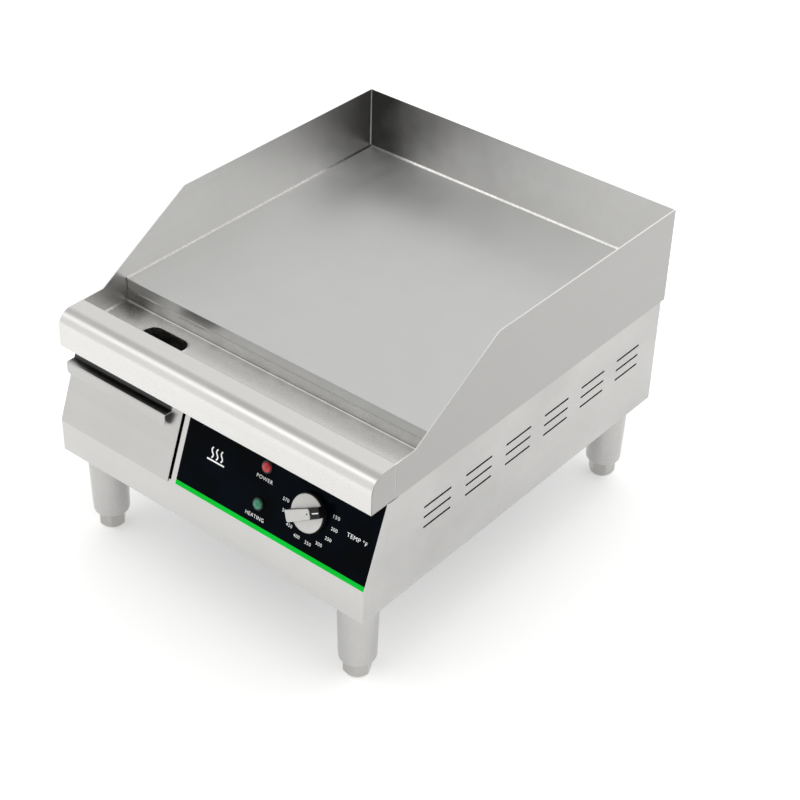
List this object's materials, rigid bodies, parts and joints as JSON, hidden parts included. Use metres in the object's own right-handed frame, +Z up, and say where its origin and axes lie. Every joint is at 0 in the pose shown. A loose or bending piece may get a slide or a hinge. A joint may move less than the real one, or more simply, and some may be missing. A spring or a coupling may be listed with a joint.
{
  "type": "electric griddle",
  "caption": "Countertop electric griddle: a flat steel plate inside a raised splash guard, a front grease trough and drawer, a dial control panel and adjustable legs.",
  "frame": {"origin": "centre of the footprint's box, on the surface that the feet stand on", "axes": "+X to the cook's right, -Y towards the cook, +Z up"},
  "size_m": [0.4, 0.4892, 0.327],
  "materials": {
    "guard_steel": "brushed grain, satin",
    "nose_steel": "brushed along its length, satin",
    "plate_steel": "fine ground, satin",
    "weld_steel": "ground weld, bright",
    "trough_steel": "satin",
    "case_steel": "brushed grain, satin",
    "inner_sheet": "plain galvanised sheet",
    "drawer_steel": "brushed grain, satin",
    "leg_steel": "turned, satin",
    "foot_steel": "turned, satin",
    "fastener_steel": "zinc plated",
    "black_film": "gloss film",
    "green_trim": "gloss film",
    "red_lens": "clear gloss",
    "green_lens": "clear gloss",
    "lamp_housing": "gloss black",
    "knob_black": "moulded, satin black",
    "knob_silver": "satin silver",
    "shaft_steel": "drawn, bright",
    "thermostat_case": "moulded ceramic",
    "element_sheath": "oxidised tube",
    "limit_ceramic": "plain",
    "insulation_wool": "ceramic fibre blanket",
    "gland_nylon": "moulded nylon",
    "wire_sleeve": "woven glass sleeve"
  },
  "bodies": {
    "case": {"guard_left": "guard_steel", "guard_right": "guard_steel", "guard_back": "guard_steel", "nose_rail": "nose_steel", "griddle_plate": "plate_steel", "weld_beads": "weld_steel", "grease_trough": "trough_steel", "drain_chute": "trough_steel", "front_panel": "case_steel", "side_panel_left": "case_steel", "side_panel_right": "case_steel", "rear_panel": "case_steel", "floor_pan": "inner_sheet", "bay_wall": "inner_sheet", "control_baffle": "inner_sheet", "heat_shield": "inner_sheet", "runner_left": "inner_sheet", "runner_right": "inner_sheet", "leg_front_left": "leg_steel", "leg_front_right": "leg_steel", "leg_rear_left": "leg_steel", "leg_rear_right": "leg_steel", "leg_bolts": "fastener_steel", "case_screws": "fastener_steel", "thermostat_screws": "fastener_steel", "plate_studs": "fastener_steel", "stud_nuts": "fastener_steel", "element_clamps": "fastener_steel", "earth_stud": "fastener_steel", "control_film": "black_film", "trim_stripe": "green_trim", "red_lamp_lens": "red_lens", "green_lamp_lens": "green_lens", "red_lamp_body": "lamp_housing", "green_lamp_body": "lamp_housing", "sensing_bulb": "shaft_steel", "capillary_tube": "shaft_steel", "element_terminals": "shaft_steel", "thermostat_body": "thermostat_case", "terminal_block": "thermostat_case", "heating_element": "element_sheath", "high_limit_disc": "limit_ceramic", "insulation_blanket": "insulation_wool", "cable_gland": "gland_nylon", "gland_nut": "gland_nylon", "supply_wires": "wire_sleeve", "element_wires": "wire_sleeve", "lamp_wires": "wire_sleeve", "earth_wire": "wire_sleeve"},
    "drawer": {"drawer_front": "drawer_steel", "drawer_handle": "drawer_steel", "drawer_tray": "drawer_steel"},
    "knob": {"knob_body": "knob_black", "knob_face": "knob_silver", "knob_grip_cap": "knob_silver", "thermostat_shaft": "shaft_steel"},
    "foot_front_left_body": {"foot_front_left": "foot_steel"},
    "foot_front_right_body": {"foot_front_right": "foot_steel"},
    "foot_rear_left_body": {"foot_rear_left": "foot_steel"},
    "foot_rear_right_body": {"foot_rear_right": "foot_steel"}
  },
  "joints": [
    {"name": "drawer_slide", "type": "slide", "parent": "case", "child": "drawer", "axis": [0, -1, 0], "range_m": [0, 0.225]},
    {"name": "knob_turn", "type": "hinge", "parent": "case", "child": "knob", "pos_m": [0.1225, -0.23412, 0.18114], "axis": [0, -0.9373, 0.3486], "range_deg": [-207, 61]},
    {"name": "foot_front_left_screw", "type": "slide", "parent": "case", "child": "foot_front_left_body", "axis": [0, 0, 1], "range_m": [-0.02, 0]},
    {"name": "foot_front_right_screw", "type": "slide", "parent": "case", "child": "foot_front_right_body", "axis": [0, 0, 1], "range_m": [-0.02, 0]},
    {"name": "foot_rear_left_screw", "type": "slide", "parent": "case", "child": "foot_rear_left_body", "axis": [0, 0, 1], "range_m": [-0.02, 0]},
    {"name": "foot_rear_right_screw", "type": "slide", "parent": "case", "child": "foot_rear_right_body", "axis": [0, 0, 1], "range_m": [-0.02, 0]}
  ]
}
